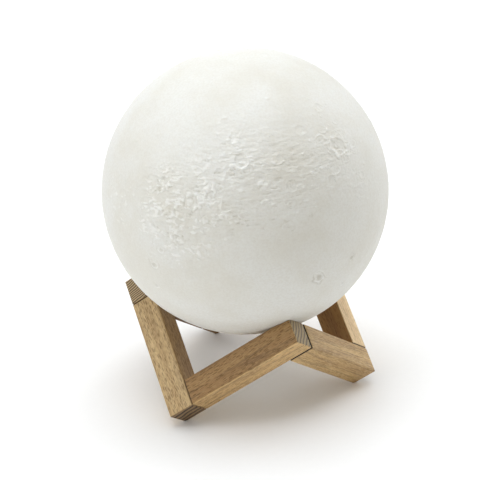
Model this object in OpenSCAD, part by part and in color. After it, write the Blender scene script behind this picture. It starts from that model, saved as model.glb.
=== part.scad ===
// Table lamp: a hollow moon globe that rests in a cradle of six square wooden bars.
// The bars run along six edges of a cube that stands on its corner, so the cradle has
// three feet and three peaks in turn, and the same shape every third of a turn.
// Origin: on the table, under the globe's centre. +Z is up and one peak points along -Y.

/* [Cradle] */
// Side of a bar's square section
bar_t = 15; // [12:0.5:18]
// Length of a bar, cut square at both ends
bar_len = 70; // [62:1:78]
// Radius that eases every edge of a bar
bar_ease = 1; // [0.6:0.1:1.6]
// Height taken off the corner of each foot, so that it stands on a flat
foot_cut = 1.4; // [1.1:0.1:2.5]
// Slit that stays open at the two joints that plug together
plug_slit = 1; // [0.2:0.1:1.6]

/* [Dowels] */
// Diameter of a dowel
dowel_d = 6; // [4:0.5:8]
// Length of a dowel inside the end of a bar
dowel_in_end = 14; // [8:1:20]
// Length of a dowel inside the side of the next bar
dowel_in_side = 9; // [6:0.5:10]
// Chamfer on a dowel's ends
dowel_chamfer = 0.8; // [0.3:0.1:1.2]
// Room round a dowel, and beyond its ends
dowel_room = 0.05; // [0.02:0.01:0.2]

/* [Globe] */
// Diameter of the globe over its smooth ground
globe_d = 152.5; // [144:0.5:165]
// Wall of the globe
globe_wall = 2; // [1.6:0.1:3]
// Gap between the globe and the hollow seats in the peaks
seat_gap = 0.2; // [0.1:0.05:0.5]
// How far the seats let the globe down between the peaks
seat_drop = 2; // [0.6:0.1:2.4]
// Radius of the flat that the globe ends in below
flat_r = 24.5; // [24.5:0.5:30]
// Height of the neck inside the globe that holds the lamp's base
neck_h = 8; // [5:0.5:14]
// Radius of the neck's bore
neck_bore_r = 22; // [21.5:0.1:22.3]
// Wall of the neck
neck_wall = 2; // [1.2:0.1:2.2]

/* [Craters] */
// Depth of a crater as a share of its rim's radius
crater_slope = 0.2; // [0.1:0.01:0.25]
// Deepest that a crater goes into the wall
crater_depth_max = 0.75; // [0.4:0.05:0.9]
// Height of a rim as a share of its radius
rim_slope = 0.09; // [0.05:0.01:0.12]
// Highest that a rim stands over the ground
rim_h_max = 0.32; // [0.2:0.02:0.4]
// Outer radius of a rim's flank over the rim's radius
rim_spread = 1.5; // [1.3:0.05:1.7]
// Number of places tried for craters on the far side
far_places = 60; // [30:1:80]
// Smallest rim radius on the far side
far_r_min = 2.2; // [1.5:0.1:3]
// Largest rim radius on the far side
far_r_max = 7; // [4:0.5:8]

/* [Base housing] */
// Room between the housing and the neck's bore
neck_room = 0.1; // [0.05:0.05:0.3]
// Thickness of the flange that closes the globe below
flange_t = 1.6; // [1.2:0.1:2.5]
// Wall of the housing's cup
cup_wall = 1.8; // [1.4:0.1:2]
// Thickness of the housing's floor
floor_t = 2; // [1.5:0.1:3]
// Radius of the shallow recess in the underside
recess_r = 13.5; // [13:0.5:16]
// Depth of the recess
recess_depth = 1.2; // [1:0.1:1.6]
// Thickness of the lid that carries the lights
lid_t = 2; // [1.6:0.1:3]
// Depth of the lid's lip inside the cup
lid_lip = 1.5; // [1:0.1:1.9]

/* [Control board] */
// Height of the posts that carry the board
post_h = 8; // [7.5:0.1:10]
// Thickness of the board
board_t = 1.6; // [1:0.1:2]
// Radius of the board
board_r = 17.4; // [17:0.1:17.8]
// Height of the battery plug, the tallest piece on the board
plug_h = 4; // [3:0.1:5]
// Width of the charging socket, outside
socket_w = 8.94; // [8.5:0.02:9.5]
// Height of the charging socket's section, outside
socket_h = 3.16; // [2.8:0.02:3.6]
// Sheet of the charging socket's shell
socket_sheet = 0.3; // [0.2:0.05:0.4]
// Height of the switch's body
switch_h = 3.5; // [3:0.1:3.8]

/* [Button] */
// Diameter of the button
button_d = 7; // [6:0.5:8]
// Travel of the button
button_travel = 0.5; // [0.3:0.1:0.8]
// Room round the button in its hole
button_room = 0.3; // [0.2:0.05:0.4]
// Diameter of the switch's plunger
plunger_d = 3.4; // [3:0.1:3.6]
// Room round the plunger
plunger_room = 0.08; // [0.04:0.01:0.1]

/* [Battery and lights] */
// Length of the battery pouch
battery_l = 25; // [20:1:26]
// Width of the battery pouch
battery_w = 20; // [16:1:22]
// Thickness of the battery pouch
battery_t = 8; // [5:0.5:10]
// Thickness of the foam tape that holds the pouch
tape_t = 1; // [0.8:0.1:1.5]
// Radius of the light board
light_board_r = 15.5; // [15:0.1:15.8]
// Side of a light chip
chip_side = 5; // [3.5:0.5:5.5]
// Number of light chips
chip_count = 6; // [3:1:8]
// Diameter of a wire over its jacket
wire_d = 1; // [0.8:0.1:1.2]

/* [Hidden] */
$fn = 96;

// ---- The cube whose edges the bars follow ----
cube_l = bar_len + bar_t;
// Tilt that stands a cube on its corner, once it is rolled about one edge
corner_tilt = atan(1 / sqrt(2));
corner_roll = 135;
// A foot's sharp corner lies this far below the cube's centre
cube_z = (cube_l / 2 + bar_t) / sqrt(3) - foot_cut;

// ---- Where the globe comes to rest on the three peaks ----
globe_r = globe_d / 2;
// Without seats the globe would touch the eased peaks: three balls of the easing radius,
// set this far from the cube's centre along one axis (near) and along the other two (far)
peak_near = cube_l / 2 - bar_t + bar_ease;
peak_far = cube_l / 2 - bar_ease;
touch_r = globe_r + seat_gap + bar_ease;
rise_b = 4 * peak_far - 2 * peak_near;
rise_c = peak_near * peak_near + 2 * peak_far * peak_far - touch_r * touch_r;
// The globe's centre would then stand this far over the cube's along each of its axes
globe_rise = (rise_b + sqrt(rise_b * rise_b - 12 * rise_c)) / 6;
globe_z = cube_z + globe_rise * sqrt(3) - seat_drop;
inner_r = globe_r - globe_wall;
flat_below = sqrt(globe_r * globe_r - flat_r * flat_r);

// ---- Heights above the base's underside ----
base_z = globe_z - flat_below - flange_t;
cup_r = neck_bore_r - neck_room;
cup_in_r = cup_r - cup_wall;
floor_z = recess_depth + floor_t;
board_z = floor_z + post_h;
board_top = board_z + board_t;
parts_room = 1.2;
battery_z = board_top + plug_h + parts_room;
cup_h = battery_z + battery_t + tape_t;
lid_top = cup_h + lid_t;
light_board_t = 1.6;
chip_t = 1.6;

// ---- Places on the base, seen from above ----
socket_y = 5.5;
button_y = -6;
pipe_x = 8.5;
pipe_y = -5.5;
pipe_r = 1;
pipe_flange_r = 1.7;
pipe_flange_t = 0.8;
status_chip_l = 1.6;
status_chip_w = 1;
status_chip_t = 0.6;
boss_r = 2.6;
boss_y = cup_in_r - boss_r + 1;
lip_wall = 1.4;
hang_r = 2.2;
post_r = 2.2;
post_xy = 9.9;
lamp_screw_y = 12.8;
lead_x = battery_l / 2 + 1.3;
lead_pitch = 2.4;
socket_l = post_h + 1.5;
socket_back = 3;
tongue_w = 6.7;
tongue_t = 0.7;
tongue_l = 5.5;
switch_side = 6;
button_flange_t = 0.8;
button_flange_room = 0.1;
plunger_reach = 1.4;
plunger_in = 1;
bore_room = 0.4;
fit_room = 0.2;
// Cuts run past the faces that they open by this much
over = 1;

// ---- Chips on the board: place of the middle, length, width, height ----
board_chips = [
    [-1, 1, 5, 6.2, 1.5], [-9, 7, 3, 3, 1], [5, 10, 4, 4, 2],
    [-4, -10, 3.2, 1.6, 1.2], [2, -11, 2, 1.2, 0.8], [5, -8, 1.6, 3.2, 1.2]];
plug_l = 3.6;
plug_w = 6;
coil_x = -6;
coil_y = -4;
coil_d = 4;
coil_h = 3;

// ---- Screws: shank diameter, length, head diameter, head height ----
screw_small = [1.8, 5, 3.6, 1.2];
screw_lid = [2, 7, 3.8, 1.4];
thread_room = 0.05;

// ---- Craters seen from the front left: longitude from +X, latitude, rim radius ----
near_craters = [
    [209, 18, 10.5], [192, 14, 2.8], [215, 25, 3.2], [214, 6, 4], [224, 11, 2.8],
    [215, -2, 2.6], [227, 18, 3.2], [232, 6, 2.6], [237, 21, 4.4], [239, 30, 3],
    [248, 35, 4], [256, 28, 3.4], [269, 24, 3.2], [245, 44, 2.8], [281, 44, 2.6],
    [287, 22, 3], [298, 33, 4.6], [305, 19, 1.8], [301, 50, 2.6], [279, -16, 3.9],
    [295, -12, 2.6], [294, -25, 2.2], [210, -10, 3], [208, -21, 2.2]];
// The far craters keep clear of the near ones: they start this far round from here
near_lon = 250;
near_span = 78;
golden_turn = 137.508;
golden_share = 0.618034;
// They also keep off the flat below and the very top
far_lat_min = -58;
far_lat_max = 80;
// The globe's first seat, straight below the peak at -Y; the others follow each third of a turn
seat_lon = 270;
seat_lat = -atan((globe_z - cube_z - (2 * peak_far - peak_near) / sqrt(3))
                 / (2 * (peak_near + peak_far) / sqrt(6)));
// No far crater's flank comes this near to the tip of a seat
seat_reach = 12;

function fraction(v) = v - floor(v);
function lat_of(i) = asin(1 - 2 * (i + 0.5) / far_places);
function lon_of(i) = (i * golden_turn) % 360;
function turn_between(a, b) = abs((a - b + 540) % 360 - 180);
// Small craters are many and large ones few
function far_radius(i) = far_r_min + (far_r_max - far_r_min) * pow(fraction(i * golden_share), 4);
// Degrees round the globe from a place to the nearest seat's tip
function seat_turn(lon) = (lon - seat_lon + 420) % 120 - 60;
function seat_arc(lon, lat) =
    acos(sin(lat) * sin(seat_lat) + cos(lat) * cos(seat_lat) * cos(seat_turn(lon)));
function off_seats(i) = seat_arc(lon_of(i), lat_of(i)) * globe_r * PI / 180
    > rim_spread * far_radius(i) + seat_reach;
far_craters = [for (i = [0 : far_places - 1])
    if (lat_of(i) > far_lat_min && lat_of(i) < far_lat_max
        && turn_between(lon_of(i), near_lon) > near_span && off_seats(i))
    [lon_of(i), lat_of(i), far_radius(i)]];
craters = concat(near_craters, far_craters);

// Radius of the ball whose cap has base radius a and height h
function cap_ball(a, h) = (a * a + h * h) / (2 * h);
function rim_h(a) = min(rim_h_max, rim_slope * a);
function crater_depth(a) = min(crater_depth_max, crater_slope * a);
// A rim's low dome: base radius, height of its base, height of its top, ball's radius
function dome_base(a) = sqrt(globe_r * globe_r - pow(rim_spread * a, 2));
function dome_ball(a) = cap_ball(rim_spread * a, globe_r + rim_h(a) - dome_base(a));
function dome_centre(a) = globe_r + rim_h(a) - dome_ball(a);
// The bowl meets the dome at the rim's own radius
function rim_z(a) = dome_centre(a) + sqrt(pow(dome_ball(a), 2) - a * a);
function bowl_floor(a) = globe_r - crater_depth(a);
function bowl_ball(a) = cap_ball(a, rim_z(a) - bowl_floor(a));
// A dome runs on under the ground by this much
dome_skirt = 0.3;

// ---- Frames ----
// The cube on its corner, rolled about one edge and tilted, with its centre on the Z axis
module in_cube() {
    translate([0, 0, cube_z])
        rotate([corner_roll, -corner_tilt, 90])
            translate([-cube_l / 2, -cube_l / 2, -cube_l / 2])
                children();
}
module at_corner(k) {
    rotate([0, 0, 120 * k]) in_cube() children();
}
module on_globe(place) {
    translate([0, 0, globe_z])
        rotate([0, 90 - place[1], place[0]])
            children();
}
module on_base() {
    translate([0, 0, base_z]) children();
}

// ---- Shapes that repeat ----
// A rectangle from the origin with round corners
module eased_rectangle(w, h, r) {
    translate([r, 0]) square([w - 2 * r, h]);
    translate([0, r]) square([w, h - 2 * r]);
    for (x = [r, w - r], y = [r, h - r])
        translate([x, y]) circle(r, $fn = 32);
}
// A block from the origin with every edge eased
module eased_block(size, r) {
    intersection() {
        linear_extrude(size[2]) eased_rectangle(size[0], size[1], r);
        translate([0, size[1], 0]) rotate([90, 0, 0])
            linear_extrude(size[1]) eased_rectangle(size[0], size[2], r);
        rotate([90, 0, 90])
            linear_extrude(size[0]) eased_rectangle(size[1], size[2], r);
    }
}
module stadium(w, h) {
    square([w - h, h], center = true);
    for (side = [-1, 1])
        translate([side * (w - h) / 2, 0]) circle(h / 2);
}
// A pan-head screw: its head's underside at z = 0, its shank below
module pan_screw(screw) {
    difference() {
        union() {
            translate([0, 0, -screw[1]]) cylinder(d = screw[0], h = screw[1] + 0.2);
            cylinder(d1 = screw[2], d2 = screw[2] * 0.8, h = screw[3]);
        }
        for (turn = [0, 90]) rotate(turn)
            translate([-screw[2] * 0.3, -0.25, screw[3] * 0.5])
                cube([screw[2] * 0.6, 0.5, screw[3]]);
    }
}
// The hole for such a screw, from z = 0 down
module screw_pilot(screw) {
    translate([0, 0, -screw[1] - 0.5])
        cylinder(r = screw[0] / 2 + thread_room, h = screw[1] + 1);
}

// ---- Joints of the cradle, in the frame of the cube ----
// At the foot: the peak bar's end meets the valley bar's side, along the second axis
module at_foot_joint() {
    translate([bar_t / 2, bar_t, bar_t / 2]) rotate([-90, 0, 0]) children();
}
// At the peak that follows: the next valley bar's end meets this peak bar's side
module at_peak_joint() {
    translate([bar_t / 2, cube_l - bar_t / 2, bar_t]) children();
}
// At the peak before: this valley bar's own end
module at_end_joint() {
    translate([cube_l - bar_t, bar_t / 2, bar_t / 2]) rotate([0, -90, 0]) children();
}
// +Z runs into the bar whose end is joined, -Z into the side of the other
module dowel_hole() {
    translate([0, 0, -dowel_in_side - dowel_room])
        cylinder(r = dowel_d / 2 + dowel_room, h = dowel_in_side + dowel_in_end + 2 * dowel_room);
}
module dowel() {
    r = dowel_d / 2;
    h = dowel_in_side + dowel_in_end;
    translate([0, 0, -dowel_in_side])
        rotate_extrude()
            polygon([[0, 0], [r - dowel_chamfer, 0], [r, dowel_chamfer], [r, h - dowel_chamfer],
                     [r - dowel_chamfer, h], [0, h]]);
}

// ---- Cradle ----
// The room that the globe takes: it hollows a shallow seat in each peak
module globe_room() {
    translate([0, 0, globe_z]) sphere(globe_r + seat_gap);
}
// A bar that ends in a foot; its other end stops short by the slit where it plugs in
module foot_bar(k, slit) {
    difference() {
        at_corner(k) difference() {
            eased_block([bar_len - slit, bar_t, bar_t], bar_ease);
            at_foot_joint() dowel_hole();
            at_end_joint() dowel_hole();
        }
        translate([0, 0, -cube_l]) cube(2 * cube_l, center = true);
        globe_room();
    }
}
// A bar that ends in a peak
module peak_bar(k, slit) {
    difference() {
        at_corner(k) difference() {
            translate([0, bar_t + slit, 0]) eased_block([bar_t, bar_len - slit, bar_t], bar_ease);
            at_foot_joint() dowel_hole();
            at_peak_joint() dowel_hole();
        }
        globe_room();
    }
}
module left_bar() {
    color("burlywood") foot_bar(0, 0);
}
module front_left_bar() {
    color("tan") peak_bar(0, 0);
}
module front_right_bar() {
    color("burlywood") foot_bar(1, plug_slit);
}
module right_bar() {
    color("tan") peak_bar(1, 0);
}
module back_right_bar() {
    color("burlywood") foot_bar(2, 0);
}
module back_left_bar() {
    color("tan") peak_bar(2, plug_slit);
}
// Two halves of three bars are glued up, two joints each
module glued_dowels() {
    color("wheat") {
        at_corner(0) at_foot_joint() dowel();
        at_corner(1) at_foot_joint() dowel();
        at_corner(1) at_peak_joint() dowel();
        at_corner(2) at_peak_joint() dowel();
    }
}
// The halves plug together on two dowels that lie along the same axis of the cube
module plug_dowels() {
    color("wheat") {
        at_corner(0) at_peak_joint() dowel();
        at_corner(2) at_foot_joint() dowel();
    }
}

// ---- Globe ----
// The slice of a ball that lies between two heights and within a radius, all on the Z axis
module ball_slice(ball_z, ball_r, low, high, within) {
    rotate_extrude() intersection() {
        translate([0, ball_z]) circle(ball_r);
        translate([0, low]) square([within, high - low]);
    }
}
module crater_dome(a) {
    ball_slice(dome_centre(a), dome_ball(a), dome_base(a) - dome_skirt,
               globe_r + 2 * rim_h_max, rim_spread * a + dome_skirt);
}
module crater_bowl(a) {
    ball_slice(bowl_floor(a) + bowl_ball(a), bowl_ball(a), bowl_floor(a) - over,
               globe_r + 2 * rim_h_max, 2 * a);
}
module crater_domes() {
    for (c = craters) on_globe(c) crater_dome(c[2]);
}
module crater_bowls() {
    for (c = craters) on_globe(c) crater_bowl(c[2]);
}
module moon_globe() {
    color("ivory") difference() {
        union() {
            difference() {
                union() {
                    translate([0, 0, globe_z]) sphere(globe_r);
                    crater_domes();
                }
                crater_bowls();
                translate([0, 0, globe_z]) sphere(inner_r);
            }
            translate([0, 0, globe_z - flat_below])
                cylinder(r = neck_bore_r + neck_wall, h = neck_h);
        }
        translate([0, 0, globe_z - flat_below - globe_r])
            cube(2 * globe_r, center = true);
        translate([0, 0, globe_z - flat_below - over])
            cylinder(r = neck_bore_r, h = neck_h + 2 * over);
    }
}

// ---- Base housing ----
module cup_profile() {
    edge = 0.8;
    polygon([[0, recess_depth], [recess_r, recess_depth], [recess_r + edge, 0],
             [flat_r - edge, 0], [flat_r, edge], [flat_r, flange_t], [cup_r, flange_t],
             [cup_r, cup_h], [cup_in_r, cup_h], [cup_in_r, floor_z], [0, floor_z]]);
}
module at_bosses() {
    for (side = [-1, 1]) translate([0, side * boss_y, 0]) children();
}
module at_posts() {
    for (side = [-1, 1]) translate([side * post_xy, side * post_xy, 0]) children();
}
module base_housing() {
    color("whitesmoke") on_base() difference() {
        union() {
            rotate_extrude() cup_profile();
            translate([0, 0, floor_z - 0.5]) {
                intersection() {
                    at_bosses() cylinder(r = boss_r, h = cup_h - floor_z + 0.5);
                    cylinder(r = cup_in_r + cup_wall / 2, h = cup_h);
                }
                at_posts() cylinder(r = post_r, h = post_h + 0.5);
            }
        }
        at_bosses() translate([0, 0, lid_top]) screw_pilot(screw_lid);
        at_posts() translate([0, 0, board_top]) screw_pilot(screw_small);
        translate([0, button_y, 0]) cylinder(r = button_d / 2 + button_room, h = floor_z + over);
        translate([pipe_x, pipe_y, 0]) cylinder(r = pipe_r + dowel_room, h = floor_z + over);
        translate([0, socket_y, 0]) linear_extrude(floor_z + over)
            stadium(socket_w + 2 * fit_room, socket_h + 2 * fit_room);
    }
}
module at_lamp_screws() {
    for (side = [-1, 1]) translate([0, side * lamp_screw_y, 0]) children();
}
module at_light_leads() {
    for (side = [-1, 1]) translate([-lead_x, side * lead_pitch / 2, 0]) children();
}
module housing_lid() {
    color("white") on_base() difference() {
        union() {
            translate([0, 0, cup_h]) cylinder(r = cup_r, h = lid_t);
            translate([0, 0, cup_h - lid_lip])
                difference() {
                    cylinder(r = cup_in_r - fit_room, h = lid_lip + lid_t / 2);
                    translate([0, 0, -over])
                        cylinder(r = cup_in_r - fit_room - lip_wall, h = lid_lip + over);
                    at_bosses() translate([0, 0, -over])
                        cylinder(r = boss_r + fit_room, h = lid_lip + over);
                }
            translate([0, 0, cup_h - screw_small[1]])
                at_lamp_screws() cylinder(r = hang_r, h = screw_small[1] + lid_t / 2);
        }
        at_bosses() translate([0, 0, lid_top]) screw_pilot(screw_lid);
        at_lamp_screws() translate([0, 0, lid_top + light_board_t]) screw_pilot(screw_small);
        translate([0, 0, cup_h - over]) at_light_leads()
            cylinder(r = wire_d / 2 + fit_room, h = lid_t + 2 * over);
    }
}
module lid_screws() {
    color("silver") on_base() at_bosses() translate([0, 0, lid_top]) pan_screw(screw_lid);
}

// ---- Control board and what is on it ----
module control_board() {
    color("darkgreen") on_base() difference() {
        translate([0, 0, board_z]) cylinder(r = board_r, h = board_t);
        at_bosses() translate([0, 0, board_z - over])
            cylinder(r = boss_r + fit_room, h = board_t + 2 * over);
        at_posts() translate([0, 0, board_top]) screw_pilot(screw_small);
    }
}
// A piece on the board's upper face: where its middle is, its length, width and height
module board_part(part) {
    translate([part[0] - part[2] / 2, part[1] - part[3] / 2, board_top])
        cube([part[2], part[3], part[4]]);
}
module board_components() {
    color("dimgray") on_base() {
        for (part = board_chips) board_part(part);
        board_part([lead_x, 0, plug_l, plug_w, plug_h]);
        translate([coil_x, coil_y, board_top]) cylinder(d = coil_d, h = coil_h);
        translate([pipe_x, pipe_y, board_z - status_chip_t / 2])
            cube([status_chip_l, status_chip_w, status_chip_t], center = true);
    }
}
module board_screws() {
    color("silver") on_base() at_posts() translate([0, 0, board_top]) pan_screw(screw_small);
}
module socket_shell() {
    color("silver") on_base() translate([0, socket_y, board_z - socket_l]) difference() {
        linear_extrude(socket_l) stadium(socket_w, socket_h);
        translate([0, 0, -over]) linear_extrude(socket_l - socket_back + over)
            stadium(socket_w - 2 * socket_sheet, socket_h - 2 * socket_sheet);
    }
}
module socket_tongue() {
    color("black") on_base()
        translate([-tongue_w / 2, socket_y - tongue_t / 2, board_z - socket_back - tongue_l])
            cube([tongue_w, tongue_t, tongue_l]);
}
module status_light_pipe() {
    color("lightcyan") on_base() translate([pipe_x, pipe_y, 0]) {
        translate([0, 0, recess_depth])
            cylinder(r = pipe_r, h = board_z - status_chip_t - recess_depth);
        translate([0, 0, floor_z]) cylinder(r = pipe_flange_r, h = pipe_flange_t);
    }
}
module switch_body() {
    bore_depth = plunger_in + button_travel + bore_room;
    color("black") on_base() translate([0, button_y, board_z - switch_h]) difference() {
        translate([-switch_side / 2, -switch_side / 2, 0]) cube([switch_side, switch_side, switch_h]);
        translate([0, 0, -over]) cylinder(r = plunger_d / 2 + plunger_room, h = bore_depth + over);
    }
}

// ---- Button and the plunger that it pushes ----
plunger_z = board_z - switch_h - plunger_reach;
button_flange_z = floor_z + button_flange_room;
module switch_plunger() {
    color("gray") on_base() translate([0, button_y, plunger_z])
        cylinder(d = plunger_d, h = plunger_reach + plunger_in);
}
module power_button() {
    proud = 0.5;
    edge = 0.4;
    r = button_d / 2;
    stem_r = 2;
    flange_r = r + button_room + 0.8;
    flange_top = button_flange_z + button_flange_t;
    color("gainsboro") on_base() translate([0, button_y, 0]) rotate_extrude()
        polygon([[0, recess_depth - proud], [r - edge, recess_depth - proud],
                 [r, recess_depth - proud + edge], [r, button_flange_z],
                 [flange_r, button_flange_z], [flange_r, flange_top], [stem_r, flange_top],
                 [stem_r, plunger_z], [0, plunger_z]]);
}

// ---- Battery ----
module battery_pouch() {
    color("lightsteelblue") on_base()
        translate([-battery_l / 2, -battery_w / 2, battery_z])
            eased_block([battery_l, battery_w, battery_t], 1.5);
}
module battery_tape() {
    color("darkslategray") on_base()
        translate([-battery_l / 2 + 4, -battery_w / 2 + 3, battery_z + battery_t])
            cube([battery_l - 8, battery_w - 6, tape_t]);
}
// Out of the pouch's end, round a bend and down into the plug
module battery_lead() {
    bend_r = lead_x - battery_l / 2;
    lead_z = battery_z + battery_t / 2;
    translate([battery_l / 2, 0, lead_z - bend_r]) rotate([90, 0, 0])
        rotate_extrude(angle = 90) translate([bend_r, 0]) circle(d = wire_d, $fn = 32);
    translate([lead_x, 0, board_top + plug_h])
        cylinder(d = wire_d, h = lead_z - bend_r - board_top - plug_h, $fn = 32);
}
module battery_leads() {
    color("firebrick") on_base()
        for (side = [-1, 1]) translate([0, side * lead_pitch / 2, 0]) battery_lead();
}

// ---- Lights ----
module light_board() {
    color("white") on_base() difference() {
        translate([0, 0, lid_top]) cylinder(r = light_board_r, h = light_board_t);
        at_lamp_screws() translate([0, 0, lid_top + light_board_t]) screw_pilot(screw_small);
        translate([0, 0, lid_top - over]) at_light_leads()
            cylinder(r = wire_d / 2 + fit_room, h = light_board_t + 2 * over);
    }
}
module light_chips() {
    ring_r = 7.5;
    color("khaki") on_base() for (i = [0 : chip_count - 1])
        rotate([0, 0, (i + 0.5) * 360 / chip_count])
            translate([ring_r - chip_side / 2, -chip_side / 2, lid_top + light_board_t])
                cube([chip_side, chip_side, chip_t]);
}
module light_board_screws() {
    color("silver") on_base() at_lamp_screws()
        translate([0, 0, lid_top + light_board_t]) pan_screw(screw_small);
}
module light_leads() {
    color("firebrick") on_base() at_light_leads() translate([0, 0, board_top])
        cylinder(d = wire_d, h = lid_top + light_board_t - board_top, $fn = 32);
}

left_bar();
front_left_bar();
front_right_bar();
right_bar();
back_right_bar();
back_left_bar();
glued_dowels();
plug_dowels();
moon_globe();
base_housing();
housing_lid();
lid_screws();
control_board();
board_components();
board_screws();
socket_shell();
socket_tongue();
status_light_pipe();
switch_body();
switch_plunger();
power_button();
battery_pouch();
battery_tape();
battery_leads();
light_board();
light_chips();
light_board_screws();
light_leads();
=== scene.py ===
"""Looks for the moon lamp: a printed white globe with crater relief in an oak cradle.

The CAD nodes stay where they are. The globe's shell is modelled again as a fine mesh with its
relief, and every other node gets a procedural material. Lengths are in metres where no other
unit is named, angles in degrees, and the scales of the materials' noise in waves to the metre.
"""

from math import acos, atan2, cos, degrees, pi, radians, sin, sqrt

import bmesh
import bpy
import numpy as np
from mathutils import Matrix, Vector, kdtree, noise


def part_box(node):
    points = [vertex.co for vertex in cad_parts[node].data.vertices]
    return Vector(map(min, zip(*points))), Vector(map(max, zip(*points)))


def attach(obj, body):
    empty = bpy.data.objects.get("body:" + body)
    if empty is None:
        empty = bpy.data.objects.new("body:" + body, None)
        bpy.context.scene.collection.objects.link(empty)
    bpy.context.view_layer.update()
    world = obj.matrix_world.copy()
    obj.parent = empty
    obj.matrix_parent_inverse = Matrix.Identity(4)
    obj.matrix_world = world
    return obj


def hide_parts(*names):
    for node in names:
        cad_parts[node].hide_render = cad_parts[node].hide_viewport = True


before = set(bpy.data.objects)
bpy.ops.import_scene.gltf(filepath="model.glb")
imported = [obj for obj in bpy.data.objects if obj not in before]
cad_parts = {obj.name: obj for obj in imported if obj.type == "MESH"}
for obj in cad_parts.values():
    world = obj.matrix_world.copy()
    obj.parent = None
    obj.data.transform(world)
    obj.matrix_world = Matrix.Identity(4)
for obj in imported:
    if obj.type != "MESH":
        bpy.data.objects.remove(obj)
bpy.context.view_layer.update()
MM = 0.001

# ---- The globe, as in the CAD ----
GLOBE_R = 76.25 * MM
WALL = 2 * MM
FLAT_R = 24.5 * MM
NECK_BORE_R = 22 * MM
NECK_R = 24 * MM
NECK_H = 8 * MM
FLAT_BELOW = sqrt(GLOBE_R**2 - FLAT_R**2)
BASE_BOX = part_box("base_housing")
FLANGE_T = 1.6 * MM
FLAT_Z = BASE_BOX[0].z + FLANGE_T
GLOBE_CENTRE = Vector((0, 0, FLAT_Z + FLAT_BELOW))
# How often each ball's faces are split, and the angle from which an edge stays sharp
OUTER_SPLITS = 8
INNER_SPLITS = 6
SHARP_ANGLE = 50

# ---- The globe's craters: radii and heights in millimetres ----
# On the near side: longitude from +X, latitude, rim radius
NEAR_CRATERS = [
    (209, 18, 10.5), (192, 14, 2.8), (215, 25, 3.2), (214, 6, 4), (224, 11, 2.8),
    (215, -2, 2.6), (227, 18, 3.2), (232, 6, 2.6), (237, 21, 4.4), (239, 30, 3),
    (248, 35, 4), (256, 28, 3.4), (269, 24, 3.2), (245, 44, 2.8), (281, 44, 2.6),
    (287, 22, 3), (298, 33, 4.6), (305, 19, 1.8), (301, 50, 2.6), (279, -16, 3.9),
    (295, -12, 2.6), (294, -25, 2.2), (210, -10, 3), (208, -21, 2.2),
]
# The near side reaches this far to either side of its middle, and a rule fills the rest
NEAR_LON = 250
NEAR_SPAN = 78
FAR_PLACES = 60
FAR_LAT_MIN = -58
FAR_LAT_MAX = 80
FAR_R_MIN = 2.2
FAR_R_MAX = 7
GOLDEN_ANGLE = 137.508
GOLDEN_SHARE = 0.618034
CRATER_SLOPE = 0.2
CRATER_DEPTH_MAX = 0.75
RIM_SLOPE = 0.09
RIM_H_MAX = 0.32
RIM_SPREAD = 1.5
# Here they keep these shares of the CAD's depth and rim, and are this far out of round
DEPTH_KEPT = 0.35
RIM_KEPT = 0.7
OUT_OF_ROUND = 0.32
# Their spread is worked out with this margin, since an uneven rim reaches further
SPREAD_MARGIN = 1.2

# A small crater's rim: its width and height, and how both grow with its radius
RING_W = 0.25
RING_W_SLOPE = 0.1
RING_H = 0.05
RING_H_SLOPE = 0.03
# The depths of the moat round it and of its floor, as shares of its radius
RING_MOAT = 0.02
RING_FLOOR = 0.025
# The rim's low side keeps this share of its height
RING_LOW = 0.2
# Larger craters up to this radius also get such a ring, at this share of their radius
RING_R_MAX = 5
RING_AT = 0.6
RING_UNEVEN = 0.6
# These rings stand out more below the equator, where the ground is smooth
RING_NORTH = 0.5
RING_SOUTH = 3.0

# The globe's seats: one lies towards -Y, the others follow each third of a turn
SEAT_LON = 270
SEAT_LAT = -41.3
# The far craters keep this far from a seat
SEAT_REACH = 12
# No relief this near to a seat, or this low over the flat below, and how softly it comes in
SEAT_PLAIN = 9
SEAT_FADE = 5
FLAT_PLAIN = 1.8
FLAT_FADE = 6
# The relief stays within these heights over the smooth ground
RELIEF_MIN = -1.2
RELIEF_MAX = 0.45

# ---- The globe's fine relief: heights in millimetres, noise scales in waves to the radius ----
# It is drawn out sideways by this much, and the faint strokes by more
FLATTEN = np.array([1, 1, 1.5])
STROKE_FLATTEN = np.array([1, 1, 4])
# The heights of its parts
SWELL = 0.08
RIDGES = 0.08
BLOBS = 0.26
GRIT = 0.09
STROKE = 0.16
HILL = 0.16
# The scales of their noise, and how far the wobble bends the ridges
WOBBLE_SCALE = 9
RIDGE_SCALE = 16
RIDGE_BEND = 0.03
STROKE_SCALE = 15
GRIT_SCALE = 60
# Blobs lie on ground rougher than this. Of their noise and of their groups' noise: the scale,
# and where each begins and how softly
BLOBS_FROM = 0.04
BLOB_SCALE, BLOB_EDGE, BLOB_FADE = 30, 0.02, 0.14
GROUP_SCALE, GROUP_EDGE, GROUP_FADE = 10, -0.22, 0.3
# The groups' noise is taken from this far off, so that it doesn't follow the blobs'
GROUP_SHIFT = 3.3
# How each finer layer of noise follows the one before: its frequency, and the fall of its height
LAYER_STEP = 2.1
LAYER_FALL = 0.8
RIDGED_FALL = 0.7
RIDGED_OFFSET = 1.0
RIDGED_GAIN = 2.0

# Small craters and hills strewn at random, with their radii in millimetres
STREWN_TRIES = 14000
STREWN_SEED = 11
STREWN_R_MIN = 0.7
STREWN_R_SPAN = 2.4
# The chance of a try on smooth ground, and what full roughness adds to it
STREWN_SMOOTH = 0.012
STREWN_ROUGH = 0.6
# They reach this many radii, and this share of them are craters
STREWN_REACH = 1.8
STREWN_CRATERS = 0.4
# The others are hills up to this radius, and end at this many radii
HILL_R_MAX = 1.3
HILL_EDGE = 1.3

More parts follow.
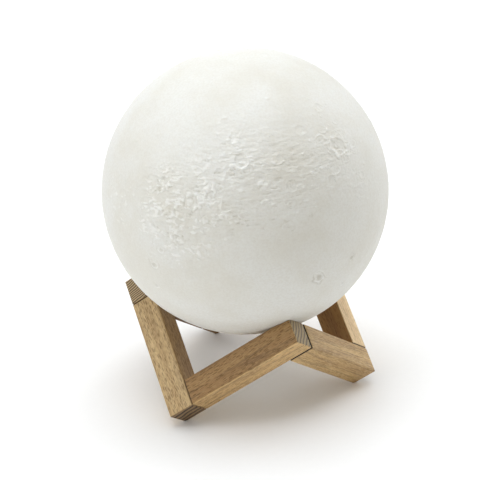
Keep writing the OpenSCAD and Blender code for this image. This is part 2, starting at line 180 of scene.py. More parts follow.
# Rough highlands: longitude, latitude, reach in degrees, strength
HIGHLANDS = [
    (217, 8, 12, 1.5), (215, 22, 9, 1.0), (232, 19, 9, 1.4), (242, 15, 10, 0.5),
    (248, 33, 10, 0.6), (255, 29, 8, 0.5), (246, 43, 9, 0.3), (231, 28, 10, 0.5),
    (269, 28, 14, 0.3), (274, 35, 12, 0.25), (298, 32, 10, 0.5), (286, 28, 12, 0.3),
    (277, 21, 11, 0.25), (300, 18, 10, 0.3), (260, 20, 12, 0.3), (226, 0, 9, 0.8),
    (233, 6, 9, 0.5), (192, 9, 12, 0.5), (301, 50, 9, 0.2), (262, 40, 11, 0.2),
]
# The far side begins where the cosine to the near side's middle falls below FAR_EDGE. It is
# rough in patches: their noise's scale, and where they begin and how softly
FAR_LAT = 10
FAR_EDGE = 0.25
FAR_FADE = 0.6
FAR_ROUGH = 0.6
PATCH_SCALE, PATCH_EDGE, PATCH_FADE = 2.2, -0.15, 0.4
# The band of faint strokes: its middle, its flatness, and its end and fade in globe radii
BAND_LON = 252
BAND_LAT = 24
BAND_FLATTEN = (1, 1, 1.6)
BAND_REACH = 1.08
BAND_FADE = 0.8
BAND_FAR = 0.5
# Ground rougher than this gets a finer mesh, on the side that faces forwards and up
REFINED_FROM = 0.12
REFINED_LAT = 20


def direction(lon, lat):
    """The way to a place from the globe's centre."""
    a, b = radians(lon), radians(lat)
    return np.array([cos(b) * cos(a), cos(b) * sin(a), sin(b)])


def smooth(t):
    """Keeps t between 0 and 1, and eases it at both ends."""
    t = np.clip(t, 0, 1)
    return t * t * (3 - 2 * t)


def rise(values, start, width):
    """0 up to the start, and 1 from a width beyond it."""
    return smooth((values - start) / width)


# ---- Relief of the globe: points are directions from its centre ----
def angle_from(points, lon, lat):
    return np.arccos(np.clip(points @ direction(lon, lat), -1, 1))


def arc_from(points, lon, lat):
    """Distance along the ground from a place, in millimetres."""
    return GLOBE_R / MM * angle_from(points, lon, lat)


def seat_distance(points):
    """Distance along the ground to the tip of the nearest seat, in millimetres."""
    return np.min([arc_from(points, SEAT_LON + turn, SEAT_LAT) for turn in (0, 120, 240)], axis=0)


def noise_field(points, scale, octaves, ridged=False):
    """Layered noise of about -1 to 1, or ridges over 0."""
    places = [Vector(p) for p in points * scale]
    if ridged:
        return np.array([noise.ridged_multi_fractal(p, RIDGED_FALL, LAYER_STEP, octaves,
                                                    RIDGED_OFFSET, RIDGED_GAIN) for p in places])
    return np.array([noise.fractal(p, LAYER_FALL, LAYER_STEP, octaves) for p in places])


def far_craters():
    """The CAD's rule for the craters round the back."""
    found = []
    for i in range(FAR_PLACES):
        lat = 90 - degrees(acos(1 - 2 * (i + 0.5) / FAR_PLACES))
        lon = (i * GOLDEN_ANGLE) % 360
        rim_r = FAR_R_MIN + (FAR_R_MAX - FAR_R_MIN) * ((i * GOLDEN_SHARE) % 1) ** 4
        turn = abs((lon - NEAR_LON + 540) % 360 - 180)
        off_seats = seat_distance(direction(lon, lat)[None])[0] > RIM_SPREAD * rim_r + SEAT_REACH
        if FAR_LAT_MIN < lat < FAR_LAT_MAX and turn > NEAR_SPAN and off_seats:
            found.append((lon, lat, rim_r))
    return found


def crater_height(arc, rim_r, wobble):
    """One of the larger craters: a low dome with a bowl in it, a little out of round."""
    depth = DEPTH_KEPT * min(CRATER_DEPTH_MAX, CRATER_SLOPE * rim_r)
    rim_h = RIM_KEPT * min(RIM_H_MAX, RIM_SLOPE * rim_r)
    out = arc / rim_r * (1 + OUT_OF_ROUND * wobble)
    dome = rim_h * (1 - (out / RIM_SPREAD) ** 2)
    at_rim = rim_h * (1 - RIM_SPREAD**-2)
    bowl = -depth + (at_rim + depth) * out**5
    height = np.where(out < 1, np.minimum(bowl, dome), dome)
    return np.where(out < RIM_SPREAD, height, 0)


def ring_height(arc, side, rim_r):
    """A small crater: a thin rim, higher on one side, round a shallow floor."""
    rim_w = RING_W + RING_W_SLOPE * rim_r
    rim = (RING_H + RING_H_SLOPE * rim_r) * np.exp(-(((arc - rim_r) / rim_w) ** 2))
    moat = RING_MOAT * rim_r * np.exp(-(((arc - rim_r - 2 * rim_w) / rim_w) ** 2))
    floor = RING_FLOOR * rim_r * smooth(1.25 - arc / rim_r)
    return rim * (RING_LOW + smooth(0.5 + side)) - moat - floor


def far_side(points):
    """1 on the side turned away from the near craters, 0 among them."""
    return rise(-(points @ direction(NEAR_LON, FAR_LAT)), -FAR_EDGE, FAR_FADE)


def highland_share(points):
    """How rough the ground is: in the listed highlands, and in patches all over the far side."""
    patches = noise_field(points * FLATTEN, PATCH_SCALE, 3)
    share = FAR_ROUGH * far_side(points) * rise(patches, PATCH_EDGE, PATCH_FADE)
    for lon, lat, reach, strength in HIGHLANDS:
        arc = np.degrees(angle_from(points, lon, lat))
        share = np.maximum(share, strength * np.exp(-((arc / reach) ** 2)))
    return share


def band_share(points):
    """The faint relief covers a wide band that holds the highlands."""
    away = np.linalg.norm((points - direction(BAND_LON, BAND_LAT)) * BAND_FLATTEN, axis=1)
    return np.maximum(rise(BAND_REACH - away, 0, BAND_FADE), BAND_FAR * far_side(points))


def blobs(points):
    """Low patches with steep edges, in groups."""
    lumps = noise_field(points * FLATTEN, BLOB_SCALE, 2)
    groups = noise_field(points * FLATTEN + GROUP_SHIFT, GROUP_SCALE, 1)
    return rise(lumps, BLOB_EDGE, BLOB_FADE) * rise(groups, GROUP_EDGE, GROUP_FADE)


def strewn_relief(points, share):
    """Small craters and hills, thick in the highlands and rare elsewhere."""
    tree = kdtree.KDTree(len(points))
    for index, point in enumerate(points * FLATTEN):
        tree.insert(point, index)
    tree.balance()
    random = np.random.default_rng(STREWN_SEED)
    height = np.zeros(len(points))
    for _ in range(STREWN_TRIES):
        centre = random.normal(size=3)
        centre = centre / np.linalg.norm(centre) * FLATTEN
        rim_r = STREWN_R_MIN + STREWN_R_SPAN * random.random() ** 3
        chance, kind, turn = random.random(3)
        if chance > STREWN_SMOOTH + STREWN_ROUGH * share[tree.find(centre)[1]]:
            continue
        found = tree.find_range(centre, rim_r * STREWN_REACH * MM / GLOBE_R)
        if not found:
            continue
        index = [i for _, i, _ in found]
        arc = np.array([away for _, _, away in found]) * GLOBE_R / MM
        if kind < STREWN_CRATERS:
            # The rim's higher side lies along a random direction on the ground
            towards = np.cross(centre, (cos(2 * pi * turn), sin(2 * pi * turn), 0.4))
            offset = points[index] * FLATTEN - centre
            side = offset @ towards / np.linalg.norm(towards) * GLOBE_R / MM / rim_r
            height[index] += ring_height(arc, side, rim_r)
        else:
            height[index] += HILL * smooth(HILL_EDGE - arc / min(rim_r, HILL_R_MAX))
    return height


def fine_relief(points, wobble):
    """What lies between the larger craters, in millimetres."""
    rough = highland_share(points)
    bent = points * FLATTEN + RIDGE_BEND * wobble[:, None]
    ridges = noise_field(bent, RIDGE_SCALE, 5, ridged=True)
    ridges -= ridges.mean()
    strokes = noise_field(points * STROKE_FLATTEN, STROKE_SCALE, 4)
    grit = noise_field(points * FLATTEN, GRIT_SCALE, 2)
    detail = rough * (RIDGES * ridges + GRIT * grit) + STROKE * band_share(points) * strokes
    inside = rough > BLOBS_FROM
    detail[inside] += BLOBS * smooth(1.5 * rough[inside]) * blobs(points[inside])
    return detail + strewn_relief(points, rough)


def relief(points):
    """Height over the smooth ground in metres, and how far the fine relief stands out in
    millimetres, which also sets the painted shade in its hollows and the painted highlight on its
    tops."""
    wobble = noise_field(points * FLATTEN, WOBBLE_SCALE, 3)
    detail = fine_relief(points, wobble)
    height = SWELL * wobble + detail
    for lon, lat, rim_r in NEAR_CRATERS + far_craters():
        arc = arc_from(points, lon, lat)
        near = arc < rim_r * RIM_SPREAD * SPREAD_MARGIN
        height[near] += crater_height(arc[near], rim_r, wobble[near])
        if rim_r < RING_R_MAX:
            boost = RING_NORTH if lat > 0 else RING_SOUTH
            below = (direction(lon, lat)[2] - points[near, 2]) * GLOBE_R / MM / rim_r
            uneven = arc[near] * (1 + RING_UNEVEN * wobble[near])
            ring = boost * ring_height(uneven, below, RING_AT * rim_r)
            height[near] += ring
            # The ring also adds to the painted shade and highlight on the relief
            detail[near] += ring
    over_flat = (points[:, 2] * GLOBE_R + FLAT_BELOW) / MM
    plain = rise(over_flat, FLAT_PLAIN, FLAT_FADE)
    plain *= rise(seat_distance(points), SEAT_PLAIN, SEAT_FADE)
    return np.clip(height, RELIEF_MIN, RELIEF_MAX) * plain * MM, detail * plain


# ---- The globe's mesh ----
def mesh_of(name, bm):
    """A mesh from a bmesh, which it frees."""
    mesh = bpy.data.meshes.new(name)
    bm.to_mesh(mesh)
    bm.free()
    return mesh


def in_scene(name, data):
    """A new object in the scene."""
    made = bpy.data.objects.new(name, data)
    bpy.context.scene.collection.objects.link(made)
    return made


def put_on_circle(v, radius, z):
    """Moves a point to a circle round the Z axis, in the direction where it lies."""
    turn = atan2(v.co.y, v.co.x)
    v.co = (radius * cos(turn), radius * sin(turn), z)


def ring_of(bm, loop, radius, z):
    """Extrudes a loop of edges and puts its new points on a circle round the Z axis."""
    made = bmesh.ops.extrude_edge_only(bm, edges=loop)["geom"]
    for part in made:
        if isinstance(part, bmesh.types.BMVert):
            put_on_circle(part, radius, z)
    return [part for part in made if isinstance(part, bmesh.types.BMEdge)]


def directions_of(bm):
    return np.array([v.co.normalized() for v in bm.verts])


def refined(bm):
    """Splits the edges of the rough areas once more, and gives the points as directions."""
    points = directions_of(bm)
    rough = highland_share(points) > REFINED_FROM
    for lon, lat, rim_r in NEAR_CRATERS:
        if rim_r < RING_R_MAX:
            rough |= arc_from(points, lon, lat) < rim_r
    wanted = rough & (points @ direction(NEAR_LON, REFINED_LAT) > 0)
    edges = [e for e in bm.edges if wanted[e.verts[0].index] and wanted[e.verts[1].index]]
    bmesh.ops.subdivide_edges(bm, edges=edges, cuts=1, use_grid_fill=True)
    return directions_of(bm)


def open_ball(radius, splits, cut_z, rugged=False):
    """A ball about the origin, opened below at a height, with the edges of its opening."""
    bm = bmesh.new()
    tint = bm.verts.layers.float.new("relief_painted_light")
    bmesh.ops.create_icosphere(bm, subdivisions=splits, radius=radius)
    if rugged:
        points = refined(bm)
        height, detail = relief(points)
        for v, point, length, step in zip(bm.verts, points, radius + height, detail):
            v.co = point * length
            # The fine relief's height is kept for the material's painted shade and highlight
            v[tint] = step
    everything = bm.verts[:] + bm.edges[:] + bm.faces[:]
    cut = bmesh.ops.bisect_plane(bm, geom=everything, plane_co=(0, 0, cut_z),
                                 plane_no=(0, 0, -1), clear_outer=True)["geom_cut"]
    return bm, [e for e in cut if isinstance(e, bmesh.types.BMEdge)]


def globe_shell():
    """The printed shell: outer relief, the flat below, the neck's bore and the smooth inside."""
    inner_r = GLOBE_R - WALL
    inner_z = -sqrt(inner_r**2 - NECK_R**2)
    neck_top = -FLAT_BELOW + NECK_H
    bm, loop = open_ball(GLOBE_R, OUTER_SPLITS, -FLAT_BELOW, rugged=True)
    for v in {v for e in loop for v in e.verts}:
        put_on_circle(v, FLAT_R, -FLAT_BELOW)
    for radius, z in ((NECK_BORE_R, -FLAT_BELOW), (NECK_BORE_R, neck_top),
                      (NECK_R, neck_top), (NECK_R, inner_z)):
        loop = ring_of(bm, loop, radius, z)
    inside, _ = open_ball(inner_r, INNER_SPLITS, inner_z)
    inside_mesh = mesh_of("inside", inside)
    bm.from_mesh(inside_mesh)
    bpy.data.meshes.remove(inside_mesh)
    bmesh.ops.bridge_loops(bm, edges=[e for e in bm.edges if e.is_boundary])
    bmesh.ops.recalc_face_normals(bm, faces=bm.faces[:])
    low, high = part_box("moon_globe")
    for v in bm.verts:
        v.co = Vector(min(max(c, a), b) for c, a, b in zip(v.co + GLOBE_CENTRE, low, high))
    for face in bm.faces:
        face.smooth = True
    mesh = mesh_of("globe_shell", bm)
    mesh.set_sharp_from_angle(angle=radians(SHARP_ANGLE))
    return in_scene("globe_shell", mesh)


# ---- Node helpers: each adds a node to the tree and gives its output ----
def put(tree, socket, value):
    """Links another node's output to a socket, or sets the socket's value."""
    if isinstance(value, bpy.types.NodeSocket):
        tree.links.new(value, socket)
    else:
        socket.default_value = value


def node(tree, kind, inputs=None, **settings):
    """The node itself, with its inputs put."""
    made = tree.nodes.new("ShaderNode" + kind)
    for key, value in settings.items():
        setattr(made, key, value)
    for key, value in (inputs or {}).items():
        put(tree, made.inputs[key], value)
    return made


def maths(tree, operation, a, b=0.0):
    return node(tree, "Math", {0: a, 1: b}, operation=operation).outputs[0]


def plus(tree, a, b):
    return maths(tree, "ADD", a, b)


def times(tree, a, b):
    return maths(tree, "MULTIPLY", a, b)


def dot(tree, vector, axis):
    return node(tree, "VectorMath", {0: vector, 1: axis}, operation="DOT_PRODUCT").outputs["Value"]


def mix(tree, share, a, b, blend="MIX"):
    return node(tree, "Mix", {0: share, 6: a, 7: b}, data_type="RGBA", blend_type=blend).outputs[2]


def spread(tree, value, low, high, to_low=0.0, to_high=1.0):
    """The value's range from low to high, spread over another with soft ends."""
    return node(tree, "MapRange", {"Value": value, "From Min": low, "From Max": high,
                                   "To Min": to_low, "To Max": to_high},
                interpolation_type="SMOOTHSTEP").outputs["Result"]


def cloud(tree, vector, scale, detail=3.0, roughness=0.55):
    return node(tree, "TexNoise", {"Vector": vector, "Scale": scale, "Detail": detail,
                                   "Roughness": roughness}).outputs["Fac"]


def bump(tree, height, distance, strength=1.0):
    return node(tree, "Bump", {"Height": height, "Distance": distance, "Strength": strength}
                ).outputs["Normal"]


def colour(r, g, b):
    """A colour from its 0 to 255 screen values."""
    def linear(c):
        c /= 255
        return c / 12.92 if c <= 0.04045 else ((c + 0.055) / 1.055) ** 2.4
    return (linear(r), linear(g), linear(b), 1)


def material(name, **constants):
    """A new material with an empty tree but for its shader, whose sockets take the constants.
    Gives it with its tree, the shader's inputs and the place on the object."""
    made = bpy.data.materials.new(name)
    made.use_nodes = True
    tree = made.node_tree
    shader = tree.nodes["Principled BSDF"]
    for socket, value in constants.items():
        shader.inputs[socket.replace("_", " ")].default_value = value
    where = node(tree, "TexCoord").outputs["Object"]
    return made, tree, shader.inputs, where


# ---- The globe's material ----
def printed_globe():
    """Matte white print with warm patches, fine grains and layer lines."""
    made, tree, shader, where = material("printed_globe", Subsurface_Weight=0.12,
                                         Subsurface_Scale=0.0004)
    shader["Subsurface Radius"].default_value = (1.0, 0.85, 0.65)
    tint = node(tree, "Attribute", attribute_name="relief_painted_light").outputs["Fac"]
    patches = cloud(tree, where, 28, 4)
    grains = cloud(tree, where, 900, 3)
    tone = mix(tree, spread(tree, patches, 0.35, 0.7), colour(226, 226, 221), colour(219, 217, 208))
    tone = mix(tree, spread(tree, grains, 0.3, 0.75, 0, 0.35), tone, colour(210, 205, 194))
    # Painted shade darkens the relief's hollows, and a painted highlight lightens its tops
    tone = mix(tree, spread(tree, tint, -0.03, -0.18, 0, 0.45), tone, colour(172, 166, 150))
    tone = mix(tree, spread(tree, tint, 0.08, 0.26, 0, 0.55), tone, colour(240, 240, 236))
    put(tree, shader["Base Color"], tone)
    put(tree, shader["Roughness"], spread(tree, grains, 0.3, 0.7, 0.5, 0.68))
    layers = node(tree, "TexWave", {"Vector": where, "Scale": 520.0, "Distortion": 1.5,
                                    "Detail": 1.0}, bands_direction="Z").outputs["Fac"]
    fine = plus(tree, times(tree, grains, 0.8), times(tree, layers, 0.12))
    put(tree, shader["Normal"], bump(tree, fine, 0.12 * MM, 0.8))
    return made


# ---- The bars, as in the CAD: along the edges of a cube that stands on its corner ----
BAR_T = 15 * MM
BAR_LEN = 70 * MM
PLUG_SLIT = 1 * MM
PLUGGED = ("front_right_bar", "back_left_bar")
FOOT_CUT = 1.4 * MM
CUBE_L = BAR_LEN + BAR_T
# The height of the cube's middle
CUBE_Z = (CUBE_L / 2 + BAR_T) / sqrt(3) - FOOT_CUT
# Where the joints at the foot and at the peak lie along a bar, from the row's origin
PEAK_LEVEL = BAR_LEN - CUBE_L / 2 + CUBE_Z / sqrt(3)
FOOT_LEVEL = BAR_T - CUBE_L / 2 + CUBE_Z / sqrt(3)
# How far a unit of the cube's edge runs outwards and rises
TILT_OUT = sqrt(2 / 3)
TILT_UP = sqrt(1 / 3)

# ---- The oak ----
WOOD_BROWN = colour(84, 56, 26)
WOOD_PALE = colour(232, 206, 160)
# A dark line at each joint, and painted shade on the faces inside the joints' slits
JOINT_DARK_AND_SHADE = colour(24, 15, 8)
END_LIGHT = colour(150, 131, 101)
END_DARK = colour(66, 52, 38)
# Each bar's grain is taken from another place, this far off for each step of its seed
SEED_STEP = (0.37, 0.71, 0.13)
# The shares to which lengths along the grain are cut, so that the marks are drawn out, and the
# slant of the pores to the grain
GRAIN_ALONG = 0.045
THIN_ALONG = 0.03
PORES_ALONG = 0.11
CELLS_ALONG = 0.17
PORE_LEAN = 0.05
# A face counts as turned one way where the cosine to that way passes from the one to the other
FACING = (0.6, 0.9)


def turned(vector, turn):
    """A vector turned about the Z axis."""
    return Matrix.Rotation(radians(turn), 3, "Z") @ Vector(vector)


def edge_axes(turn):
    """The cube's three edge directions at one of its corners."""
    return (turned((0, TILT_OUT, TILT_UP), turn),
            turned((TILT_OUT * sin(pi / 3), -TILT_OUT / 2, TILT_UP), turn),
            turned((TILT_OUT * sin(pi / 3), TILT_OUT / 2, -TILT_UP), turn))


def stretched(tree, along_share, u, v, w, lean=0.0):
    """The bar's own coordinates, with the grain's direction drawn out. A lean sets the marks
    at a slant to the grain."""
    if lean:
        v = plus(tree, v, times(tree, u, lean))
        w = plus(tree, w, times(tree, u, lean))
    return node(tree, "CombineXYZ", {0: times(tree, u, along_share), 1: v, 2: w}).outputs[0]


def growth_rings(tree, where, grain, side, up, pith, ring_gap):
    """How far a point lies through its growth ring, from 0 to 1. The rings run about the pith
    and are bent a little by noise."""
    bend = times(tree, cloud(tree, grain, 60, 2), 5 * MM)
    across = maths(tree, "SUBTRACT", dot(tree, where, side), pith[0] * BAR_T)
    height = maths(tree, "SUBTRACT", dot(tree, where, up), pith[1] * BAR_T)
    squares = plus(tree, times(tree, across, across), times(tree, height, height))
    radius = plus(tree, bend, maths(tree, "SQRT", squares))
    return maths(tree, "FRACT", maths(tree, "DIVIDE", radius, ring_gap * MM))


def pore_lines(tree, u, v, w):
    """The short dark pores that run nearly with the grain, and the pale lines between them."""
    pores = cloud(tree, stretched(tree, PORES_ALONG, u, v, w, PORE_LEAN), 2800, 2)
    cells = node(tree, "TexVoronoi", {"Vector": stretched(tree, CELLS_ALONG, u, v, w, PORE_LEAN),
                                      "Scale": 1300.0}).outputs["Distance"]
    marks = spread(tree, plus(tree, cells, times(tree, pores, 0.35)), 0.52, 0.45)
    faint = spread(tree, pores, 0.52, 0.62, 0, 0.45)
    return maths(tree, "MAXIMUM", marks, faint), spread(tree, pores, 0.46, 0.38)


def end_grain(tree, where, ring, light, dark):
    """The tone of a sawn end: dark rings on a light ground with fine specks."""
    specks = times(tree, cloud(tree, where, 1400, 2), 0.3)
    return mix(tree, spread(tree, ring, 0.35, 0.75), mix(tree, specks, light, dark), dark)


def joint_lines_and_shade(tree, where, facing, along, joined_at, hidden, seam_w):
    """Dark joints: a dark line along the joined end, and painted shade on the side that the next
    end meets, where the slit between them lies in shadow.
    """
    at = dot(tree, where, along)
    first = joined_at - BAR_LEN
    last = spread(tree, at, joined_at - seam_w * MM, joined_at - 0.5 * seam_w * MM)
    met_shade = times(tree, spread(tree, dot(tree, facing, hidden), *FACING),
                spread(tree, at, first, first + 0.5 * MM, 1, 0))
    return maths(tree, "MAXIMUM", last, met_shade)


def oak(name, along, side, up, joined_at, hidden, seed, light, dark, pith, seam_w=0.8,
        ring_gap=2.0, streaks=0.5, dashes=0.7, end_light=END_LIGHT, end_dark=END_DARK, faces=()):
    """Oak for one bar. along is the grain, towards the end that is joined, which lies at
    joined_at along it. side and up are the bar's other two directions. pith says where the tree's
    middle lay, in bar widths from the row's Z axis. hidden is the face that the next bar's end
    meets, and faces lists outward directions with a tint that multiplies the wood there, as painted
    shade. seam_w and ring_gap are in millimetres, streaks and dashes are the strengths of the
    marks."""
    made, tree, shader, where = material(name)
    facing = node(tree, "TexCoord").outputs["Normal"]
    shift = tuple(seed * step for step in SEED_STEP)
    shifted = node(tree, "VectorMath", {0: where, 1: shift}, operation="ADD").outputs[0]
    u, v, w = (dot(tree, shifted, axis) for axis in (along, side, up))
    grain = stretched(tree, GRAIN_ALONG, u, v, w)
    ring = growth_rings(tree, where, grain, side, up, pith, ring_gap)
    broad = cloud(tree, grain, 160, 3)
    long_lines = spread(tree, cloud(tree, grain, 800, 3, 0.6), 0.46, 0.62)
    thin = cloud(tree, stretched(tree, THIN_ALONG, u, v, w), 2400, 2)
    short_lines, pale_lines = pore_lines(tree, u, v, w)
    tone = mix(tree, spread(tree, broad, 0.3, 0.7), light, dark)
    tone = mix(tree, times(tree, maths(tree, "POWER", ring, 2.5), 0.35), tone, dark)
    tone = mix(tree, times(tree, spread(tree, thin, 0.45, 0.65), 0.3), tone, dark)
    tone = mix(tree, times(tree, long_lines, streaks), tone, WOOD_BROWN)
    tone = mix(tree, times(tree, pale_lines, 0.3), tone, WOOD_PALE)
    tone = mix(tree, times(tree, short_lines, dashes), tone, WOOD_BROWN)
    # Painted shade: each listed face is multiplied by its tint, darker as if in shadow
    for outward, tint in faces:
        shaded_face = spread(tree, dot(tree, facing, outward), *FACING)
        tone = mix(tree, shaded_face, tone, tint, "MULTIPLY")
    on_end = spread(tree, maths(tree, "ABSOLUTE", dot(tree, facing, along)), *FACING)
    end_tone = end_grain(tree, where, ring, end_light, end_dark)
    tone = mix(tree, times(tree, on_end, 0.95), tone, end_tone)
    # Dark joint lines, and painted shade in the slits
    lines_and_shade = joint_lines_and_shade(tree, where, facing, along, joined_at, hidden, seam_w)
    put(tree, shader["Base Color"], mix(tree, lines_and_shade, tone, JOINT_DARK_AND_SHADE))
    put(tree, shader["Roughness"], spread(tree, short_lines, 0, 1, 0.52, 0.75))
    hollow = times(tree, plus(tree, long_lines, short_lines), -0.5)
    put(tree, shader["Normal"], bump(tree, plus(tree, hollow, broad), 0.12 * MM, 0.5))
    return made


# ---- Materials of the base and the dowels ----
def mottled(name, base, second, size, rough=(0.4, 0.55), relief_mm=0.03, **constants):
    """Two near tones in fine clouds of a size in millimetres, with roughness and bump from finer
    clouds."""
    made, tree, shader, where = material(name, **constants)
    clouds = cloud(tree, where, 1 / (size * MM), 4)
    fine = cloud(tree, where, 6 / (size * MM), 3)
    put(tree, shader["Base Color"], mix(tree, spread(tree, clouds, 0.3, 0.7), base, second))
    put(tree, shader["Roughness"], spread(tree, fine, 0.3, 0.7, *rough))
    put(tree, shader["Normal"], bump(tree, fine, relief_mm * MM))
    return made


def brushed_steel(name):
    """Turned steel: fine level lines, from clouds that are pressed flat."""
    made, tree, shader, where = material(name, Metallic=1.0)
    pressed = node(tree, "VectorMath", {0: where, 1: (1, 1, 8)}, operation="MULTIPLY").outputs[0]
    lines = cloud(tree, pressed, 2200, 3)
    put(tree, shader["Base Color"], mix(tree, lines, colour(178, 180, 184), colour(214, 215, 217)))
    put(tree, shader["Roughness"], spread(tree, lines, 0.3, 0.7, 0.28, 0.45))
    put(tree, shader["Normal"], bump(tree, lines, 0.01 * MM))
    return made


def crinkled_foil():
    """Laminated foil with shallow folds."""
    made, tree, shader, where = material("crinkled_foil", Metallic=0.9)
    folds = node(tree, "TexVoronoi", {"Vector": where, "Scale": 260.0},
                 feature="DISTANCE_TO_EDGE").outputs["Distance"]
    clouds = cloud(tree, where, 500, 4)
    put(tree, shader["Base Color"], mix(tree, clouds, colour(176, 182, 190), colour(206, 210, 214)))
    put(tree, shader["Roughness"], spread(tree, clouds, 0.3, 0.7, 0.25, 0.42))
    put(tree, shader["Normal"], bump(tree, plus(tree, folds, clouds), 0.15 * MM, 0.5))
    return made


def circuit_board(name, mask, track):
    """Solder mask over copper: tracks are bands of cells that show through a little lighter."""
    made, tree, shader, where = material(name, Coat_Weight=0.4)
    cells = node(tree, "TexVoronoi", {"Vector": where, "Scale": 420.0, "Randomness": 0.35},
                 feature="DISTANCE_TO_EDGE").outputs["Distance"]
    tracks = spread(tree, cells, 0.05, 0.12, 1, 0)
    fibre = cloud(tree, where, 2500, 2)
    base = mix(tree, times(tree, fibre, 0.25), mask, colour(20, 30, 24))
    put(tree, shader["Base Color"], mix(tree, times(tree, tracks, 0.5), base, track))
    put(tree, shader["Roughness"], spread(tree, fibre, 0.3, 0.7, 0.3, 0.45))
    put(tree, shader["Normal"], bump(tree, tracks, 0.04 * MM))
    return made


def light_phosphor():
    """Yellow resin over the light chips."""
    made, tree, shader, where = material("light_phosphor", Coat_Weight=0.6)
    grains = cloud(tree, where, 4000, 2)
    put(tree, shader["Base Color"], mix(tree, grains, colour(226, 196, 88), colour(240, 220, 130)))
    put(tree, shader["Roughness"], spread(tree, grains, 0.3, 0.7, 0.35, 0.5))
    put(tree, shader["Normal"], bump(tree, grains, 0.02 * MM))
    return made


def clear_plastic():
    made, tree, shader, where = material("clear_plastic", Transmission_Weight=0.85, IOR=1.49)
    clouds = cloud(tree, where, 1500, 2)
    put(tree, shader["Base Color"], mix(tree, clouds, colour(225, 236, 238), colour(240, 246, 246)))
    put(tree, shader["Roughness"], spread(tree, clouds, 0.3, 0.7, 0.12, 0.25))
    return made


# ---- Which node gets what ----
def dress(name, made):
    """Gives a CAD node one material in place of its own."""
    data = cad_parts[name].data
    data.materials.clear()
    data.materials.append(made)


def dress_bars():
    """A foot bar's grain runs up from its corner along a, and its end meets the next bar at the
    peak. A peak bar's runs down to its joint along b. PLUGGED bars stop short by the slit."""
    feet = {"left_bar": 0, "front_right_bar": 120, "back_right_bar": 240}
    peaks = {"front_left_bar": 0, "right_bar": 120, "back_left_bar": 240}
    front_left, front_right, back_left = edge_axes(0), edge_axes(120), edge_axes(240)
    # The tints under faces are painted shade: on left_bar, front_left_bar and right_bar they darken
    # faces that lie in the globe's shadow, and on the back bars they darken lower faces in deep
    # shade under the globe
    looks = {
        # left_bar's dark end_dark is partly painted shade: its sawn foot is darkened towards the
        # floor's contact shadow
        "left_bar": dict(
            seed=1, light=colour(208, 180, 132), dark=colour(184, 153, 105), pith=(0.6, 9.0),
            ring_gap=3.2, streaks=0.2, dashes=0.6, end_light=colour(150, 120, 82),
            end_dark=colour(38, 25, 14), faces=[(front_left[1], (0.75, 0.66, 0.56, 1))]),
        "front_left_bar": dict(
            seed=2, light=colour(226, 192, 133), dark=colour(196, 158, 104), pith=(0.5, -6.0),
            ring_gap=2.4, streaks=0.35, dashes=0.5, end_light=colour(168, 148, 108),
            end_dark=colour(104, 88, 66), faces=[(-front_left[2], (0.51, 0.43, 0.32, 1))]),
        "front_right_bar": dict(
            seed=3, light=colour(208, 175, 120), dark=colour(178, 143, 93), pith=(-3.5, -1.0),
            seam_w=0.4, ring_gap=2.6, streaks=0.4, dashes=0.2),
        # right_bar's oak tones are raised to the brightness of its lit outer face, partly painted
        # light
        "right_bar": dict(
            seed=4, light=colour(244, 215, 166), dark=colour(220, 187, 140), pith=(1.5, -2.5),
            seam_w=0.5, streaks=0.25, dashes=0.3, faces=[(front_right[0], (0.35, 0.24, 0.115, 1))]),
        "back_right_bar": dict(
            seed=5, light=colour(206, 176, 124), dark=colour(180, 146, 96), pith=(-1.2, 2.2),
            faces=[(back_left[2], (0.46, 0.38, 0.30, 1))]),
        "back_left_bar": dict(
            seed=6, light=colour(200, 168, 116), dark=colour(172, 138, 90), pith=(1.0, 9.0),
            ring_gap=1.27, end_light=colour(190, 163, 120), end_dark=colour(52, 38, 25),
            faces=[(back_left[2], (0.46, 0.38, 0.30, 1))]),
    }
    for name, turn in feet.items():
        a, b, c = edge_axes(turn)
        joined_at = PEAK_LEVEL - (PLUG_SLIT if name in PLUGGED else 0)
        dress(name, oak("oak_" + name, a, b, c, joined_at, b, **looks[name]))
    for name, turn in peaks.items():
        a, b, c = edge_axes(turn)
        joined_at = -FOOT_LEVEL - (PLUG_SLIT if name in PLUGGED else 0)
        dress(name, oak("oak_" + name, -b, a, c, joined_at, c, **looks[name]))


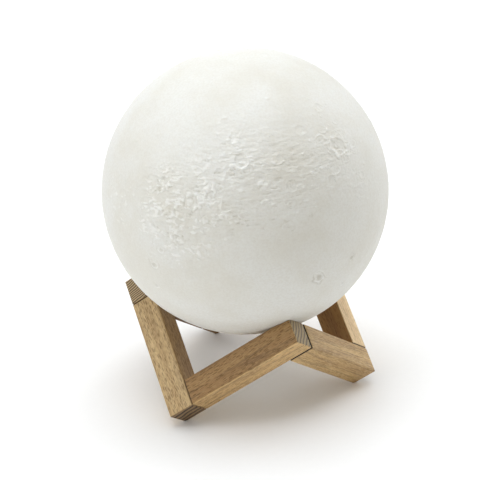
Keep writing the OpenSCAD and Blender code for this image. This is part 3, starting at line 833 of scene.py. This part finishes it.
def dress_base():
    """The globe's base with all that it holds, and the dowels."""
    steel = brushed_steel("turned_steel")
    white = mottled("moulded_white", colour(236, 236, 232), colour(228, 228, 224), 4)
    red_wire = mottled("red_jacket", colour(176, 34, 30), colour(150, 26, 24), 1.5,
                       (0.35, 0.5), 0.01)
    plain = {
        "base_housing": white,
        "housing_lid": mottled("moulded_lid", colour(240, 240, 238), colour(230, 230, 228), 5),
        "control_board": circuit_board("green_board", colour(24, 84, 48), colour(60, 128, 76)),
        "board_components": mottled("moulded_chips", colour(38, 38, 40), colour(52, 52, 54), 0.8),
        "socket_shell": mottled("stamped_socket", colour(190, 191, 194), colour(208, 209, 210), 2,
                                (0.25, 0.4), 0.01, Metallic=1.0),
        "socket_tongue": mottled("socket_plastic", colour(28, 28, 30), colour(40, 40, 42), 1),
        "status_light_pipe": clear_plastic(),
        "switch_body": mottled("switch_plastic", colour(34, 34, 36), colour(46, 46, 48), 1),
        "switch_plunger": mottled("plunger_plastic", colour(70, 70, 72), colour(88, 88, 90), 1),
        "power_button": mottled("button_rubber", colour(214, 214, 210), colour(200, 200, 196), 1.5,
                                (0.6, 0.75), 0.02),
        "battery_pouch": crinkled_foil(),
        "battery_tape": mottled("foam_tape", colour(44, 46, 50), colour(66, 68, 72), 0.6,
                                (0.85, 0.95), 0.15),
        "battery_leads": red_wire,
        "light_leads": red_wire,
        "light_board": circuit_board("white_board", colour(238, 238, 234), colour(214, 214, 206)),
        "light_chips": light_phosphor(),
        "lid_screws": steel,
        "board_screws": steel,
        "light_board_screws": steel,
    }
    for name, made in plain.items():
        dress(name, made)
    beech = mottled("turned_beech", colour(206, 172, 126), colour(186, 150, 104), 2.5,
                    (0.55, 0.7), 0.04)
    for name in ("glued_dowels", "plug_dowels"):
        dress(name, beech)


# ---- Floor, light and camera ----
FLOOR_HALF = 4
FLOOR_CELLS = 24

# The view that the photo has
LOOK_AT = Vector((-0.0002, 0.0103, 0.0803))
CAMERA_AT = Vector((-0.3119, -0.8407, 0.5104))
CAMERA_LENS = 138.0
CAMERA_SENSOR = 36
CAMERA_ROLL = -2.15
CAMERA_END = 20

# Soft lights: where each stands, its side, its power and its colour
COOL = (0.94, 0.99, 1.06)
SOFT_LIGHTS = {
    "over": ((0.0, 0.1, 1.3), 1.3, 14.5, COOL),
    "left": ((-1.2, -0.1, 0.6), 1.0, 5.5, COOL),
    "right": ((1.2, 0.2, 0.6), 1.0, 5.2, COOL),
    "back": ((0.2, 1.4, 0.3), 1.2, 4.5, COOL),
}
WORLD_COLOUR = (1.0, 0.93, 0.80, 1)
WORLD_STRENGTH = 0.38


def studio_floor():
    """A wide flat sheet of pale paper."""
    bm = bmesh.new()
    bmesh.ops.create_grid(bm, x_segments=FLOOR_CELLS, y_segments=FLOOR_CELLS, size=FLOOR_HALF)
    floor = in_scene("studio_floor", mesh_of("studio_floor", bm))
    made, tree, shader, where = material("paper_floor")
    fibres = cloud(tree, where, 300, 2)
    put(tree, shader["Base Color"], mix(tree, fibres, colour(250, 250, 250), colour(253, 253, 253)))
    put(tree, shader["Roughness"], spread(tree, fibres, 0.3, 0.7, 0.85, 0.95))
    floor.data.materials.append(made)


def soft_lights():
    for name, (place, side, power, tint) in SOFT_LIGHTS.items():
        lamp = bpy.data.lights.new(name, "AREA")
        lamp.size = side
        lamp.energy = power
        lamp.color = tint
        made = in_scene(name, lamp)
        made.location = place
        made.rotation_euler = (LOOK_AT - Vector(place)).to_track_quat("-Z", "Y").to_euler()


def world_light():
    world = bpy.data.worlds.new("studio")
    world.use_nodes = True
    background = world.node_tree.nodes["Background"]
    background.inputs["Color"].default_value = WORLD_COLOUR
    background.inputs["Strength"].default_value = WORLD_STRENGTH
    bpy.context.scene.world = world


def camera():
    lens = bpy.data.cameras.new("camera")
    lens.lens = CAMERA_LENS
    lens.sensor_width = CAMERA_SENSOR
    lens.clip_end = CAMERA_END
    made = in_scene("camera", lens)
    level = (LOOK_AT - CAMERA_AT).to_track_quat("-Z", "Y").to_matrix()
    roll = Matrix.Rotation(radians(CAMERA_ROLL), 3, "Z")
    made.matrix_world = Matrix.Translation(CAMERA_AT) @ (level @ roll).to_4x4()
    bpy.context.scene.camera = made


shell = globe_shell()
shell.data.materials.append(printed_globe())
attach(shell, "globe")
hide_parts("moon_globe")
dress_bars()
dress_base()
studio_floor()
soft_lights()
world_light()
camera()
bpy.context.scene.view_settings.view_transform = "Standard"
